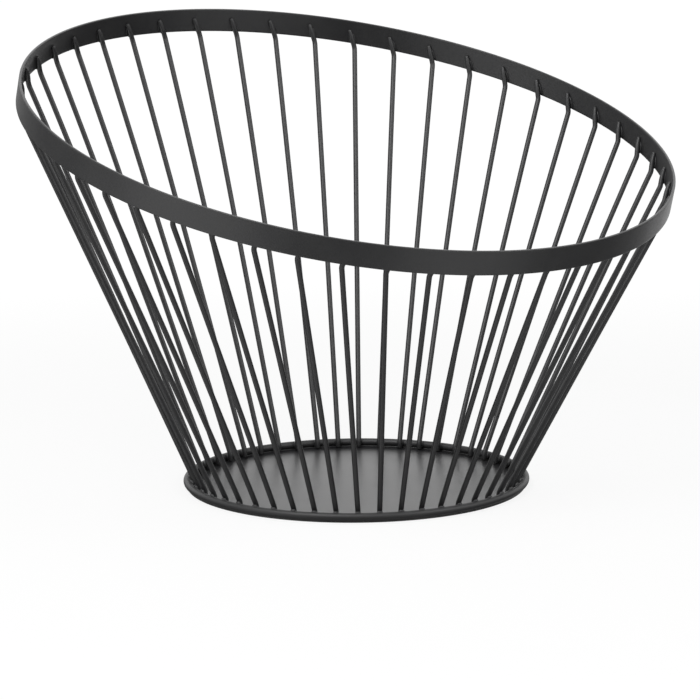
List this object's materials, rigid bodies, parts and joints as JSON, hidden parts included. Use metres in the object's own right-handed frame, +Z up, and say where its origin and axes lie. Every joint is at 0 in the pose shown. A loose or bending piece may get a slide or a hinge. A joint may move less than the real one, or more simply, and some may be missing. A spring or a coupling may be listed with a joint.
{
  "type": "wire fruit basket",
  "caption": "Round wire fruit basket with a slanting mouth: bent wires lean out from a round-bar foot ring with a sheet base to a tilted hoop of flat strip.",
  "frame": {"origin": "middle of the base disc's underside, on the surface that the basket stands on", "axes": "+Z up; the mouth is low at -Y and high at +Y; +X to the right when seen from the low side"},
  "size_m": [0.3, 0.2926, 0.2058],
  "materials": {
    "frame_coat": "satin black powder coat on steel strip, bar and wire",
    "base_coat": "satin black powder coat on steel sheet"
  },
  "bodies": {
    "root": {"rim_hoop": "frame_coat", "foot_ring": "frame_coat", "base_disc": "base_coat", "wire_01": "frame_coat", "wire_02": "frame_coat", "wire_03": "frame_coat", "wire_04": "frame_coat", "wire_05": "frame_coat", "wire_06": "frame_coat", "wire_07": "frame_coat", "wire_08": "frame_coat", "wire_09": "frame_coat", "wire_10": "frame_coat", "wire_11": "frame_coat", "wire_12": "frame_coat", "wire_13": "frame_coat", "wire_14": "frame_coat", "wire_15": "frame_coat", "wire_16": "frame_coat", "wire_17": "frame_coat", "wire_18": "frame_coat", "wire_19": "frame_coat", "wire_20": "frame_coat", "wire_21": "frame_coat", "wire_22": "frame_coat", "wire_23": "frame_coat", "wire_24": "frame_coat", "wire_25": "frame_coat", "wire_26": "frame_coat", "wire_27": "frame_coat", "wire_28": "frame_coat", "wire_29": "frame_coat", "wire_30": "frame_coat", "wire_31": "frame_coat", "wire_32": "frame_coat", "wire_33": "frame_coat", "wire_34": "frame_coat", "wire_35": "frame_coat", "wire_36": "frame_coat", "wire_37": "frame_coat", "wire_38": "frame_coat", "wire_39": "frame_coat", "wire_40": "frame_coat", "wire_41": "frame_coat", "wire_42": "frame_coat", "wire_43": "frame_coat", "wire_44": "frame_coat", "wire_45": "frame_coat", "wire_46": "frame_coat", "wire_47": "frame_coat", "wire_48": "frame_coat"}
  },
  "joints": []
}
